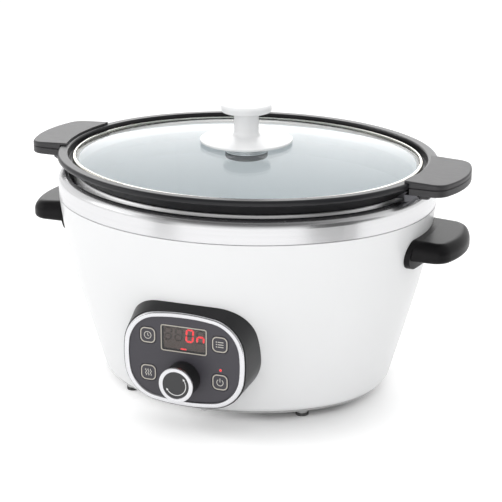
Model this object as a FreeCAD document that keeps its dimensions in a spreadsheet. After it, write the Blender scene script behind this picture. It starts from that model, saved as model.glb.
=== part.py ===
import FreeCAD, Part
import math
import os

import Sketcher

# An oval slow cooker. It stands on the XY plane with its panel facing -Y and its long axis
# along X. The Z axis runs up through the middle of the oval pot. All sizes are in millimetres.

SIZES = {
    # Oval plan at the top edge of the shell: every other oval is an even offset of this one
    "oval_half_length": 149.3,
    "oval_half_width": 132.4,
    "oval_end_radius": 122.0,
    # Outer shell of painted sheet: how far its foot and waist lie inside its top edge, and heights
    "shell_taper": 33.7,
    "waist_inset": 14.25,
    "shell_bottom": 6.0,
    "shell_waist_height": 75.0,
    "shell_top": 150.2,
    "shell_bend": 438.0,
    "shell_wall": 1.25,
    "shell_round": 6.0,
    "shell_lip": 12.6,
    "shell_ledge": 5.9,
    # Bright collar on top of the shell
    "seam_gap": 0.7,
    "collar_height": 18.4,
    "collar_width": 8.2,
    "collar_round": 6.4,
    "collar_sheet": 1.2,
    # Heated well that holds the pot
    "well_floor": 28.0,
    "well_sheet": 1.0,
    "mouth_inset": 10.1,
    "well_gap": 6.1,
    "well_round": 17.0,
    "floor_overlap": 60.0,
    "heater_bottom": 52.0,
    "heater_top": 92.0,
    "heater_thickness": 1.8,
    "blanket_thickness": 3.4,
    "blanket_top": 112.0,
    # Bottom cover, its feet and its fasteners
    "cover_inset": 3.1,
    "cover_sheet": 1.4,
    "foot_x": 70.5,
    "foot_y": 67.5,
    "foot_radius": 5.0,
    "foot_height": 2.4,
    "vent_length": 64.0,
    "vent_width": 3.2,
    "vent_pitch": 7.5,
    "vent_count": 6,
    "post_radius": 7.0,
    "bolt_radius": 2.5,
    "small_screw_radius": 1.5,
    "small_head_radius": 3.2,
    "small_head_height": 1.7,
    # Handles on the shell: reach beyond its top edge, and drops below that edge
    "grip_half_width": 36.8,
    "grip_reach": 28.7,
    "grip_drop": 29.2,
    "root_top_drop": 13.7,
    "tip_top_drop": 15.7,
    "grip_corner": 14.0,
    "grip_nose": 75.0,
    "grip_edge_round": 8.0,
    "grip_under_round": 3.0,
    "grip_wall": 4.0,
    "grip_floor": 5.0,
    "root_drop": 36.7,
    "root_low_inset": 1.1,
    "root_high_out": 2.9,
    "root_corner": 11.0,
    "grip_screw_y": 20.0,
    "grip_screw_drop": 23.2,
    "grip_screw_length": 8.0,
    "screw_radius": 2.0,
    "screw_head_radius": 3.6,
    "screw_head_height": 2.2,
    # Control pod: the ring round its panel sets the outline
    "panel_height": 58.7,
    "panel_recess": 1.4,
    "ring_half_width": 47.7,
    "ring_half_height": 36.6,
    "ring_corner": 28.0,
    "ring_bow_side": 0.4,
    "ring_bow_top": 1.5,
    "ring_width": 4.2,
    "ring_proud": 1.1,
    "panel_thickness": 2.5,
    "pod_lip": 0.9,
    "pod_lip_drop": 1.0,
    "pod_wall": 2.4,
    "pod_ledge": 1.7,
    "pod_depth": 40.0,
    "pod_root_side": 3.5,
    "pod_root_top": 28.5,
    "pod_root_bottom": 3.5,
    "pod_root_corner": 42.0,
    "pod_screw_x": 42.0,
    "pod_screw_up": 8.0,
    "pod_screw_down": 12.0,
    "pod_boss_radius": 3.2,
    "pod_screw_length": 14.0,
    # Panel layout, from the middle of the ring
    "key_x": 28.5,
    "key_up": 15.8,
    "key_down": 13.7,
    "key_side": 13.0,
    "key_corner": 4.4,
    "key_gap": 0.3,
    "key_flange": 0.6,
    "key_travel": 0.8,
    "window_half_width": 18.3,
    "window_low": 5.2,
    "window_high": 25.9,
    "window_corner": 2.0,
    "window_step": 1.8,
    "window_thickness": 1.6,
    "light_x": 29.0,
    "light_down": 4.1,
    "light_radius": 1.5,
    "dial_down": 14.0,
    "dial_radius": 12.9,
    "dial_ring_proud": 0.5,
    "dial_ring_inset": 2.7,
    "dial_start": 0.8,
    "dial_length": 15.4,
    "shaft_radius": 3.0,
    "shaft_clearance": 0.06,
    "board_gap": 4.5,
    "board_thickness": 1.6,
    "board_half_width": 36.0,
    "board_half_height": 25.0,
    # Cord inlet at the back
    "inlet_height": 22.0,
    "inlet_bore": 3.7,
    "inlet_wall": 2.9,
    "inlet_flange_width": 2.9,
    # Power board in the base, with its inset from the shell's foot at the back
    "power_board_length": 80.0,
    "power_board_width": 48.0,
    "power_board_inset": 47.7,
    # Pot with a neck under its flared rim
    "pot_wall": 2.2,
    "pot_clearance": 1.7,
    "pot_side_rise": 0.8,
    "pot_round": 16.0,
    "pot_turn": 1.9,
    "shoulder_out": 0.2,
    "shoulder_drop": 5.6,
    "neck_inset": 2.2,
    "neck_rise": 0.7,
    "seat_ledge": 4.5,
    "seat_rise": 8.2,
    "rim_width": 8.1,
    "rim_rise": 6.8,
    "rim_edge": 3.6,
    "rim_round": 2.2,
    # Handles of the pot, each of two shells on a bracket
    "hold_half_width": 38.2,
    "hold_reach": 27.9,
    "hold_corner": 12.0,
    "hold_nose": 80.0,
    "hold_overlap": 5.5,
    "hold_drop": 9.0,
    "hold_split_drop": 3.6,
    "hold_rise": 1.6,
    "hold_droop": 1.6,
    "hold_round": 1.3,
    "hold_trim": 9.7,
    "lug_drop": 2.2,
    "lug_reach": 4.4,
    "lug_side": 8.2,
    "bracket_half_width": 37.0,
    "bracket_inset": 7.8,
    "bracket_edge": 1.1,
    "bracket_lift": 0.6,
    "tongue_half_width": 24.0,
    "tongue_reach": 6.9,
    "tongue_thickness": 1.85,
    "hold_screw_reach": 3.5,
    "hold_screw_y": 14.0,
    "hold_screw_length": 9.3,
    "hold_screw_depth": 1.25,
    "hold_head_radius": 2.8,
    "hold_head_height": 1.7,
    # Lid of domed glass in a steel rim
    "lid_gap": 3.4,
    "lid_rim_height": 4.7,
    "lid_sheet": 0.7,
    "lid_hem": 2.4,
    "glass_thickness": 2.6,
    "glass_rise": 11.0,
    "glass_spread": 1.25,
    "glass_hole": 3.2,
    "knob_flange": 36.2,
    "knob_flange_rise": 1.9,
    "knob_neck": 9.6,
    "knob_neck_rise": 21.5,
    "knob_disc": 19.6,
    "knob_disc_lift": 2.2,
    "knob_disc_thickness": 7.4,
    "seal_radius": 16.8,
    "seal_thickness": 1.4,
    "seal_margin": 1.2,
    "washer_thickness": 1.0,
    # Gaps left between pieces
    "fit_gap": 0.12,
}


class Size:
    """A length, with the sheet formula it comes from."""

    def __init__(self, value, text):
        self.value = float(value)
        self.text = text

    def joined(self, other, sign, value):
        return Size(value, "(%s %s %s)" % (self.text, sign, other.text))

    def __add__(self, other):
        other = as_size(other)
        return self.joined(other, "+", self.value + other.value)

    def __sub__(self, other):
        other = as_size(other)
        return self.joined(other, "-", self.value - other.value)

    def __mul__(self, other):
        other = as_size(other)
        return self.joined(other, "*", self.value * other.value)

    def __truediv__(self, other):
        other = as_size(other)
        return self.joined(other, "/", self.value / other.value)

    def __neg__(self):
        return Size(-self.value, "(0 - %s)" % self.text)

    __radd__ = __add__
    __rmul__ = __mul__


def root_of(size):
    """Square root of a size."""
    return Size(math.sqrt(size.value), "sqrt(%s)" % size.text)


def as_size(value):
    """Give a plain number the same form as a sheet size."""
    return value if isinstance(value, Size) else Size(value, repr(float(value)))


class SizeSheet:
    """The spreadsheet of driving sizes, with one attribute for each name."""

    def __init__(self, document, table):
        cells = document.addObject("Spreadsheet::Sheet", "Sizes")
        for row, (name, value) in enumerate(table.items(), start=1):
            cells.set("A%d" % row, name)
            cells.set("B%d" % row, str(value))
            cells.setAlias("B%d" % row, name)
            setattr(self, name, Size(value, "Sizes." + name))


doc = FreeCAD.newDocument("SlowCooker")
s = SizeSheet(doc, SIZES)
doc.recompute()
V = FreeCAD.Vector

# Sizes that follow from the driving ones
s.shell_foot = s.oval_half_length - s.shell_taper
s.shell_waist = s.oval_half_length - s.waist_inset
s.collar_top = s.shell_top + s.collar_height
s.well_mouth = s.oval_half_length - s.mouth_inset
s.well_foot = s.shell_foot - s.well_gap
s.cover_half_length = s.shell_foot - s.cover_inset
s.grip_tip = s.oval_half_length + s.grip_reach
s.grip_bottom = s.shell_top - s.grip_drop
s.grip_root_top = s.shell_top - s.root_top_drop
s.grip_tip_top = s.shell_top - s.tip_top_drop
s.grip_screw_height = s.shell_top - s.grip_screw_drop
s.root_bottom = s.shell_top - s.root_drop
s.root_low = s.oval_half_length - s.root_low_inset
s.root_high = s.oval_half_length + s.root_high_out
s.panel_reach = s.oval_half_width - s.panel_recess
s.dial_ring_radius = s.dial_radius + s.dial_ring_proud
s.dial_ring_inner = s.dial_radius - s.dial_ring_inset
s.inlet_neck = s.inlet_bore + s.inlet_wall
s.inlet_flange = s.inlet_neck + s.inlet_flange_width
s.pot_foot = s.well_foot - s.pot_clearance
s.pot_side = s.well_mouth - s.pot_clearance
s.pot_side_height = s.shell_top + s.pot_side_rise
s.pot_shoulder = s.pot_side + s.shoulder_out
s.shoulder_height = s.collar_top - s.shoulder_drop
s.pot_neck = s.pot_side - s.neck_inset
s.neck_height = s.collar_top + s.neck_rise
s.seat_height = s.collar_top + s.seat_rise
s.rim_inner = s.pot_side + s.seat_ledge
s.rim_half_length = s.rim_inner + s.rim_width
s.rim_top = s.seat_height + s.rim_rise
s.rim_under = s.rim_top - s.rim_edge
s.hold_tip = s.rim_half_length + s.hold_reach
s.hold_inner = s.rim_half_length - s.hold_overlap
s.hold_bottom = s.rim_top - s.hold_drop
s.hold_split = s.rim_top - s.hold_split_drop
s.hold_top = s.rim_top + s.hold_rise
s.hold_tip_top = s.hold_top - s.hold_droop
s.hold_screw_x = s.rim_half_length + s.hold_screw_reach
s.hold_screw_seat = s.hold_bottom - s.hold_screw_depth
s.lid_half_length = s.rim_inner - s.lid_gap
s.lid_rim_top = s.seat_height + s.lid_rim_height
s.glass_crown = s.lid_rim_top + s.glass_rise
s.knob_neck_height = s.glass_crown + s.knob_neck_rise
s.knob_disc_low = s.knob_neck_height + s.knob_disc_lift
s.knob_disc_high = s.knob_disc_low + s.knob_disc_thickness
s.washer_radius = s.seal_radius - s.seal_margin

# The oval's arcs: centres of the two ends and of the two long sides
end_centre = s.oval_half_length - s.oval_end_radius
side_radius = (
    end_centre * end_centre + s.oval_half_width * s.oval_half_width - s.oval_end_radius * s.oval_end_radius
) / (2 * (s.oval_half_width - s.oval_end_radius))
side_centre = side_radius - s.oval_half_width
arc_step = side_radius - s.oval_end_radius
# How much narrower every oval is than it is long, on each side
slimness = s.oval_half_length - s.oval_half_width


# Sketches and features

def new_body(label):
    body = doc.addObject("PartDesign::Body", label)
    body.Label = label
    return body


def bind(thing, prop, size):
    thing.setExpression(prop, as_size(size).text)


def sketch(body, role, out=None):
    """A sketch on one of the body's own planes, moved out along the plane's normal."""
    sk = body.newObject("Sketcher::SketchObject", "Sketch")
    plane = [f for f in body.Origin.OriginFeatures if f.Role == role][0]
    sk.AttachmentSupport = [(plane, "")]
    sk.MapMode = "FlatFace"
    if out is not None:
        out = as_size(out)
        sk.AttachmentOffset = FreeCAD.Placement(V(0, 0, out.value), FreeCAD.Rotation())
        bind(sk, "AttachmentOffset.Base.z", out)
    return sk


def plan(body, height=0):
    return sketch(body, "XY_Plane", height)


def front(body, reach=0):
    """A sketch that faces the cook, at a distance in front of the oval's middle."""
    return sketch(body, "XZ_Plane", reach)


class Drawing:
    """Collects the geometry and the sized constraints of one sketch."""

    def __init__(self, sk):
        self.sk = sk
        self.rules = []
        self.sized = []

    def add(self, geometry, construction=False):
        return self.sk.addGeometry(geometry, construction)

    def rule(self, *parts):
        self.rules.append(Sketcher.Constraint(*parts))

    def sized_rule(self, kind, *parts):
        size = as_size(parts[-1])
        self.sized.append((len(self.rules), size))
        self.rules.append(Sketcher.Constraint(kind, *parts[:-1], size.value))

    def place(self, geometry, end, x, y):
        self.sized_rule("DistanceX", geometry, end, x)
        self.sized_rule("DistanceY", geometry, end, y)

    def close(self):
        first = len(self.sk.Constraints)
        self.sk.addConstraint(self.rules)
        for index, size in self.sized:
            bind(self.sk, "Constraints[%d]" % (first + index), size)
        return self.sk


def corner(x, y, round_by=None, bend=None):
    """One corner of an outline: its rounding, and the signed radius of the edge after it."""
    return {"x": as_size(x), "y": as_size(y), "round": round_by, "bend": bend}


def rounding(before, here, after, radius):
    """Start, middle and end of the arc that rounds one corner."""
    to_before = (before - here).normalize()
    to_after = (after - here).normalize()
    half = to_before.getAngle(to_after) / 2
    inward = (to_before + to_after).normalize()
    reach = radius / math.tan(half)
    middle = here + inward * (radius / math.sin(half) - radius)
    return here + to_before * reach, middle, here + to_after * reach


def bend_middle(start, end, radius):
    """Middle of an arc between two points; a positive radius bulges to the right of the way."""
    way = end - start
    half = way.Length / 2
    rise = abs(radius) - math.sqrt(radius * radius - half * half)
    right = V(way.y, -way.x, 0).normalize()
    return (start + end) * 0.5 + right * math.copysign(rise, radius)


def arc_ends(start, middle, end):
    """Point numbers of an arc's start and end: arcs are kept anticlockwise."""
    anticlockwise = (middle - start).cross(end - middle).z > 0
    return (1, 2) if anticlockwise else (2, 1)


def outline(sk, corners):
    """A closed outline of straight and bent edges with rounded corners."""
    drawing = Drawing(sk)
    points = [V(c["x"].value, c["y"].value, 0) for c in corners]
    count = len(corners)
    arcs = []
    for i, c in enumerate(corners):
        radius = c["round"]
        arcs.append(radius and rounding(points[i - 1], points[i], points[(i + 1) % count], radius.value))
    run = []
    for i, c in enumerate(corners):
        if arcs[i]:
            start, middle, end = arcs[i]
            number = drawing.add(Part.Arc(start, middle, end))
            drawing.sized_rule("Radius", number, c["round"])
            run.append((number, arc_ends(start, middle, end), "arc", i))
        start = arcs[i][2] if arcs[i] else points[i]
        after = (i + 1) % count
        end = arcs[after][0] if arcs[after] else points[after]
        if c["bend"] is None:
            number = drawing.add(Part.LineSegment(start, end))
            run.append((number, (1, 2), "edge", i))
        else:
            middle = bend_middle(start, end, c["bend"].value)
            number = drawing.add(Part.Arc(start, middle, end))
            size = c["bend"] if c["bend"].value > 0 else -c["bend"]
            drawing.sized_rule("Radius", number, size)
            run.append((number, arc_ends(start, middle, end), "edge", i))
    edges = {i: number for number, ends, kind, i in run if kind == "edge"}
    for k, (number, ends, kind, i) in enumerate(run):
        after, after_ends, after_kind = run[(k + 1) % len(run)][:3]
        joint = "Tangent" if "arc" in (kind, after_kind) else "Coincident"
        drawing.rule(joint, number, ends[1], after, after_ends[0])
        if kind == "edge" and not arcs[i]:
            drawing.place(number, ends[0], corners[i]["x"], corners[i]["y"])
    for i, c in enumerate(corners):
        if arcs[i]:
            dot = drawing.add(Part.Point(points[i]), True)
            drawing.place(dot, 1, c["x"], c["y"])
            drawing.rule("PointOnObject", dot, 1, edges[(i - 1) % count])
            drawing.rule("PointOnObject", dot, 1, edges[i])
    return drawing.close()


def arc_loop(sk, stops):
    """A closed loop of anticlockwise arcs: each stop is x, y and the radius of the arc after it."""
    drawing = Drawing(sk)
    count = len(stops)
    points = [V(x.value, y.value, 0) for x, y, radius in stops]
    for i, (x, y, radius) in enumerate(stops):
        start, end = points[i], points[(i + 1) % count]
        drawing.add(Part.Arc(start, bend_middle(start, end, radius.value), end))
    for i, (x, y, radius) in enumerate(stops):
        drawing.rule("Coincident", i, 2, (i + 1) % count, 1)
        drawing.place(i, 1, x, y)
        drawing.sized_rule("Radius", i, radius)
    return drawing.close()


def oval(sk, half_length):
    """The cooker's oval at a given half length, starting on the X axis."""
    end_radius = half_length - end_centre
    long_radius = end_radius + arc_step
    x = end_centre + end_radius * end_centre / arc_step
    y = end_radius * side_centre / arc_step
    return arc_loop(sk, [
        (half_length, as_size(0), end_radius),
        (x, y, long_radius),
        (-x, y, end_radius),
        (-x, -y, long_radius),
        (x, -y, end_radius),
    ])


def panel_loop(sk, outset=0, side=0, up=0, down=0, corner_radius=s.ring_corner):
    """The panel's soft rectangle, grown evenly and then stretched to the sides, up and down."""
    outset, up, down = as_size(outset), as_size(up), as_size(down)
    half_width = s.ring_half_width + side
    half_height = s.ring_half_height + (up + down) / 2
    middle = s.panel_height + (up - down) / 2
    across = half_width - s.ring_bow_side - corner_radius
    along = half_height - s.ring_bow_top - corner_radius
    rise = half_height - along
    run = half_width - across
    top = (across * across + rise * rise - corner_radius * corner_radius) / (2 * s.ring_bow_top)
    flank = (along * along + run * run - corner_radius * corner_radius) / (2 * s.ring_bow_side)
    radius = corner_radius + outset
    top_step = top - corner_radius
    flank_step = flank - corner_radius
    top_x = across + radius * across / top_step
    top_z = along + radius * (along - half_height + top) / top_step
    flank_x = across + radius * (across - half_width + flank) / flank_step
    flank_z = along + radius * along / flank_step
    top_radius = top + outset
    flank_radius = flank + outset
    return arc_loop(sk, [
        (flank_x, middle + flank_z, radius),
        (top_x, middle + top_z, top_radius),
        (-top_x, middle + top_z, radius),
        (-flank_x, middle + flank_z, flank_radius),
        (-flank_x, middle - flank_z, radius),
        (-top_x, middle - top_z, top_radius),
        (top_x, middle - top_z, radius),
        (flank_x, middle - flank_z, flank_radius),
    ])


def circles(sk, *rounds):
    """Circles given as x, y and radius."""
    drawing = Drawing(sk)
    for x, y, radius in rounds:
        x, y, radius = as_size(x), as_size(y), as_size(radius)
        number = drawing.add(Part.Circle(V(x.value, y.value, 0), V(0, 0, 1), radius.value))
        drawing.place(number, 3, x, y)
        drawing.sized_rule("Radius", number, radius)
    return drawing.close()


def soft_box(sk, x, y, half_width, half_height, corner_radius):
    """A rectangle with rounded corners about a middle point."""
    return outline(sk, [
        corner(x - half_width, y - half_height, corner_radius),
        corner(x + half_width, y - half_height, corner_radius),
        corner(x + half_width, y + half_height, corner_radius),
        corner(x - half_width, y + half_height, corner_radius),
    ])


def turning_line(sk, x):
    """An upright construction line for a revolved feature."""
    drawing = Drawing(sk)
    x = as_size(x)
    number = drawing.add(Part.LineSegment(V(x.value, 0, 0), V(x.value, 100, 0)), True)
    drawing.place(number, 1, x, 0)
    drawing.place(number, 2, x, 100)
    drawing.close()


def feature(body, kind, **sizes):
    """A PartDesign feature with its sizes bound to the sheet."""
    made = body.newObject("PartDesign::" + kind, kind)
    for prop, size in sizes.items():
        setattr(made, prop, as_size(size).value)
        bind(made, prop, size)
    return made


def pad(body, sk, length, back=False, both=False):
    made = feature(body, "Pad", Length=length)
    made.Profile = sk
    made.Reversed = back
    made.Midplane = both
    doc.recompute()
    return made


def pocket(body, sk, depth, back=False, both=False):
    """Cut against the sketch's normal, or along it when back is set."""
    made = feature(body, "Pocket", Length=depth)
    made.Profile = sk
    made.Reversed = back
    made.Midplane = both
    doc.recompute()
    return made


def turned(body, kind, sk, angle=360):
    """A Revolution or Groove about the sketch's construction line."""
    made = feature(body, kind, Angle=angle)
    made.Profile = sk
    made.ReferenceAxis = (sk, ["Axis0"])
    made.Midplane = True
    doc.recompute()
    return made


def swept(body, corners):
    """A section at the oval's right end, carried round the whole oval."""
    path = oval(plan(body), s.oval_half_length)
    section = outline(front(body), corners)
    doc.recompute()
    made = body.newObject("PartDesign::AdditivePipe", "Sweep")
    made.Profile = section
    made.Spine = (path, ["Edge%d" % (i + 1) for i in range(5)])
    doc.recompute()
    return made


def lofted(body, kind, near, far):
    made = body.newObject("PartDesign::" + kind, kind)
    made.Profile = near
    made.Sections = [far]
    made.Ruled = True
    doc.recompute()
    return made


def soften(body, kind, size, wanted):
    """A Fillet or Chamfer on every edge whose bounding box passes the test."""
    base = body.Tip
    names = ["Edge%d" % (i + 1) for i, e in enumerate(base.Shape.Edges) if wanted(e.BoundBox)]
    made = feature(body, kind, **{"Radius" if kind == "Fillet" else "Size": size})
    made.Base = (base, names)
    doc.recompute()
    return made


def level(height):
    """A test for edges that lie flat at one height."""
    return lambda box: abs(box.ZMin - height.value) < 0.02 and abs(box.ZMax - height.value) < 0.02


def at_reach(reach):
    """A test for edges that lie in one plane facing the cook."""
    return lambda box: abs(box.YMin + reach.value) < 0.02 and abs(box.YMax + reach.value) < 0.02


# Plain solids for fasteners and electrical pieces

AXES = {
    "X": FreeCAD.Rotation(V(0, 0, 1), V(1, 0, 0)),
    "Y": FreeCAD.Rotation(V(0, 0, 1), V(0, 1, 0)),
    "-Y": FreeCAD.Rotation(V(0, 0, 1), V(0, -1, 0)),
    "Z": FreeCAD.Rotation(),
}


def solid(kind, axis, x, y, z, **sizes):
    made = doc.addObject("Part::" + kind, kind)
    for prop, size in sizes.items():
        setattr(made, prop, as_size(size).value)
        bind(made, prop, size)
    x, y, z = as_size(x), as_size(y), as_size(z)
    made.Placement = FreeCAD.Placement(V(x.value, y.value, z.value), AXES[axis])
    for letter, size in zip("xyz", (x, y, z)):
        bind(made, "Placement.Base." + letter, size)
    return made


def rod(axis, x, y, z, radius, length):
    return solid("Cylinder", axis, x, y, z, Radius=radius, Height=length)


def block(x, y, z, length, width, height):
    """A box centred on x and y, standing on z."""
    x, y = as_size(x) - as_size(length) / 2, as_size(y) - as_size(width) / 2
    return solid("Box", "Z", x, y, z, Length=length, Width=width, Height=height)


def joined(label, *shapes):
    made = doc.addObject("Part::MultiFuse", label)
    made.Shapes = list(shapes)
    made.Label = label
    return made


def group(label, *shapes):
    made = doc.addObject("Part::Compound", label)
    made.Links = list(shapes)
    made.Label = label
    return made


def cut(label, base, tool):
    made = doc.addObject("Part::Cut", label)
    made.Base = base
    made.Tool = tool
    made.Label = label
    return made


def common(label, base, tool):
    made = doc.addObject("Part::Common", label)
    made.Base = base
    made.Tool = tool
    made.Label = label
    return made


def mirrored(label, source, normal=V(1, 0, 0)):
    """The left-hand twin of a right-hand piece."""
    made = doc.addObject("Part::Mirroring", label)
    made.Source = source
    made.Base = V(0, 0, 0)
    made.Normal = normal
    made.Label = label
    return made


def half_turned(label, source):
    """The same piece again, turned half way round the upright axis."""
    return mirrored(label, mirrored("Reflection", source), V(0, 1, 0))


def screw(axis, x, y, z, radius, length, head_radius, head_height):
    """A screw with its head ending at the given point and its shank going on along the axis."""
    step = {"X": (1, 0, 0), "Z": (0, 0, 1), "-Y": (0, -1, 0)}[axis]
    back = [as_size(p) - head_height * d if d else as_size(p) for p, d in zip((x, y, z), step)]
    head = rod(axis, back[0], back[1], back[2], head_radius, head_height)
    shank = rod(axis, x, y, z, radius, length)
    return joined("Screw", head, shank)


def shell_lean():
    """How fast the lower part of the shell widens with height."""
    return (s.shell_waist - s.shell_foot) / (s.shell_waist_height - s.shell_bottom)


def shell_side(clear=0, less=0):
    """Corners of the region inside the shell's outer face, seen from one end."""
    low = s.shell_foot - shell_lean() * s.shell_bottom
    return [
        corner(s.floor_overlap, 0),
        corner(low + clear - less, 0),
        corner(s.shell_waist + clear - less, s.shell_waist_height, bend=s.shell_bend),
        corner(s.oval_half_length + clear - less, s.shell_top),
        corner(s.floor_overlap, s.shell_top),
    ]


# Housing

def outer_shell():
    body = new_body("outer_shell")
    lip = s.shell_foot - s.shell_lip
    inside_top = s.shell_top - s.shell_wall
    inside_bottom = s.shell_bottom + s.shell_wall
    ledge = s.oval_half_length - s.shell_ledge
    swept(body, [
        corner(lip, s.shell_bottom),
        corner(s.shell_foot, s.shell_bottom, s.shell_round),
        corner(s.shell_waist, s.shell_waist_height, bend=s.shell_bend),
        corner(s.oval_half_length, s.shell_top),
        corner(ledge, s.shell_top),
        corner(ledge, inside_top),
        corner(s.oval_half_length - s.shell_wall * 1.1, inside_top, bend=-s.shell_bend),
        corner(s.shell_waist - s.shell_wall, s.shell_waist_height),
        corner(s.shell_foot - s.shell_wall + shell_lean() * s.shell_wall, inside_bottom,
               s.shell_round - s.shell_wall),
        corner(lip, inside_bottom),
    ])
    deep = s.oval_half_length * 2
    window = soft_box(front(body), as_size(0), s.panel_height, as_size(26), as_size(16), as_size(5))
    pocket(body, window, deep, back=True)
    pod_holes = [(x, s.panel_height + z, s.screw_radius + 0.1) for x, z in pod_screw_spots()]
    pocket(body, circles(front(body), *pod_holes), deep, back=True)
    pocket(body, circles(front(body), (0, s.inlet_height, s.inlet_neck + s.fit_gap)), deep)
    grip_holes = [(y, s.grip_screw_height, s.screw_radius + 0.1) for y in (s.grip_screw_y, -s.grip_screw_y)]
    pocket(body, circles(sketch(body, "YZ_Plane"), *grip_holes), deep * 2, both=True)
    lip_holes = [(x, y, s.small_screw_radius + 0.05) for x, y in base_screw_spots()]
    pocket(body, circles(plan(body, s.shell_bottom * 2), *lip_holes), s.shell_bottom * 2)


def rim_collar():
    body = new_body("rim_collar")
    sheet = s.collar_sheet
    bottom = s.shell_top + s.seam_gap
    inner = s.oval_half_length + 0.3 - s.collar_width
    foot_out = s.oval_half_length - 1.7
    foot_in = s.oval_half_length - 4.4
    shelf = s.shell_top + sheet
    swept(body, [
        corner(s.oval_half_length, bottom),
        corner(s.oval_half_length + 0.3, s.collar_top, s.collar_round),
        corner(inner, s.collar_top, as_size(1.5)),
        corner(inner, shelf + sheet),
        corner(inner + sheet, shelf + sheet),
        corner(inner + sheet, s.collar_top - sheet, as_size(0.3)),
        corner(s.oval_half_length + 0.3 - sheet, s.collar_top - sheet, s.collar_round - sheet - 0.2),
        corner(s.oval_half_length - sheet, shelf),
        corner(foot_in, shelf),
        corner(foot_in, s.shell_top),
        corner(foot_out, s.shell_top),
        corner(foot_out, bottom),
    ])


def well_slope():
    """How fast the well's wall widens with height."""
    return (s.well_mouth - s.well_foot) / (well_lip_top() - s.well_floor)


def well_lip_top():
    return s.shell_top + s.collar_sheet + s.well_sheet * 0.8


def well_liner():
    body = new_body("well_liner")
    lip = s.oval_half_length - 2.2
    lip_under = s.shell_top + s.collar_sheet
    under = s.well_floor - s.well_sheet
    out = s.well_sheet * 1.03
    swept(body, [
        corner(s.floor_overlap, under),
        corner(s.well_foot + out - well_slope() * s.well_sheet, under, s.well_round + s.well_sheet),
        corner(s.well_mouth + out - well_slope() * (well_lip_top() - lip_under), lip_under),
        corner(lip, lip_under),
        corner(lip, well_lip_top()),
        corner(s.well_mouth, well_lip_top()),
        corner(s.well_foot, s.well_floor, s.well_round),
        corner(s.floor_overlap, s.well_floor),
    ])
    pad(body, oval(plan(body, under), s.floor_overlap + 4), s.well_sheet)


def wrap(label, bottom, top, start, thickness):
    """A band wrapped round the well at an even distance from its wall."""
    body = new_body(label)
    face = s.well_foot + s.well_sheet * 1.03 + start
    near = [face + well_slope() * (z - s.well_floor) for z in (bottom, top)]
    swept(body, [
        corner(near[0], bottom),
        corner(near[0] + thickness, bottom),
        corner(near[1] + thickness, top),
        corner(near[1], top),
    ])


def base_screw_spots():
    x = s.shell_foot - s.shell_lip * 0.6
    y = x - slimness
    return [(x, as_size(0)), (-x, as_size(0)), (as_size(0), y), (as_size(0), -y)]


def foot_spots():
    return [(x, y) for x in (s.foot_x, -s.foot_x) for y in (s.foot_y, -s.foot_y)]


def board_spots():
    """Posts that carry the power board."""
    x = s.power_board_length / 2 - 6
    y = s.power_board_width / 2 - 6
    middle = power_board_middle()
    return [(x, middle + y), (x, middle - y), (-x, middle + y), (-x, middle - y)]


def power_board_middle():
    return s.shell_foot - slimness - s.power_board_inset


def base_cover():
    body = new_body("base_cover")
    under = s.shell_bottom - s.cover_sheet
    pad(body, oval(plan(body, under), s.cover_half_length), s.cover_sheet)
    pads = [(x, y, s.foot_radius - 0.3) for x, y in foot_spots()]
    pad(body, circles(plan(body, s.foot_height), *pads), under - s.foot_height)
    posts = [(x, y, 3.0) for x, y in board_spots()]
    pad(body, circles(plan(body, s.shell_bottom - 0.2), *posts), as_size(3.2))
    holes = [(x, y, s.small_screw_radius + 0.2) for x, y in base_screw_spots()]
    holes.append((as_size(0), as_size(0), s.bolt_radius + 0.2))
    pocket(body, circles(plan(body, s.shell_bottom * 2), *holes), s.shell_bottom * 2)
    half = s.vent_width / 2
    vent = soft_box(plan(body, s.shell_bottom), as_size(0), as_size(-22),
                    s.vent_length / 2, half, half * 0.98)
    first = pocket(body, vent, s.shell_bottom)
    row = body.newObject("PartDesign::LinearPattern", "Vents")
    row.Originals = [first]
    row.Direction = (vent, ["V_Axis"])
    row.Reversed = True
    row.Length = (s.vent_pitch * (s.vent_count - 1)).value
    bind(row, "Length", s.vent_pitch * (s.vent_count - 1))
    row.Occurrences = int(s.vent_count.value)
    bind(row, "Occurrences", s.vent_count)
    body.Tip = row
    doc.recompute()


def base_fasteners():
    spots = base_screw_spots()
    under = s.shell_bottom - s.cover_sheet
    group("base_screws", *[
        screw("Z", x, y, under, s.small_screw_radius, as_size(4.6), s.small_head_radius, s.small_head_height)
        for x, y in spots])
    group("feet", *[rod("Z", x, y, 0, s.foot_radius, s.foot_height) for x, y in foot_spots()])
    room = s.well_floor - s.well_sheet - s.shell_bottom
    cut("liner_post", rod("Z", 0, 0, s.shell_bottom, s.post_radius, room),
        rod("Z", 0, 0, s.shell_bottom - 1, s.bolt_radius + 0.05, room - 4))
    bolt = screw("Z", 0, 0, under, s.bolt_radius, room - 5, s.bolt_radius * 1.8, as_size(2.2))
    bolt.Label = "tie_bolt"


def end_cut(body, corners, angle):
    """Cut a region swung about the centre of the oval's right end."""
    sk = outline(front(body), corners)
    turning_line(sk, end_centre)
    turned(body, "Groove", sk, angle)


def nose_start(half_width, tip, nose):
    """Where a handle's straight side meets its round nose."""
    return tip - nose + root_of(nose * nose - half_width * half_width)


def handle_plan(sk, root, half_width, tip, nose):
    """Plan of a handle: straight sides and a round nose."""
    shoulder = nose_start(half_width, tip, nose)
    return outline(sk, [
        corner(root, -half_width),
        corner(shoulder, -half_width, bend=nose),
        corner(shoulder, half_width),
        corner(root, half_width),
    ])


def shoulder_edges(half_width, tip, nose):
    """A test for the two upright edges where a handle's sides meet its nose."""
    x = nose_start(half_width, tip, nose).value
    return lambda box: box.ZLength > 2 and abs(box.XMin - x) < 0.02 and abs(box.XMax - x) < 0.02


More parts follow.
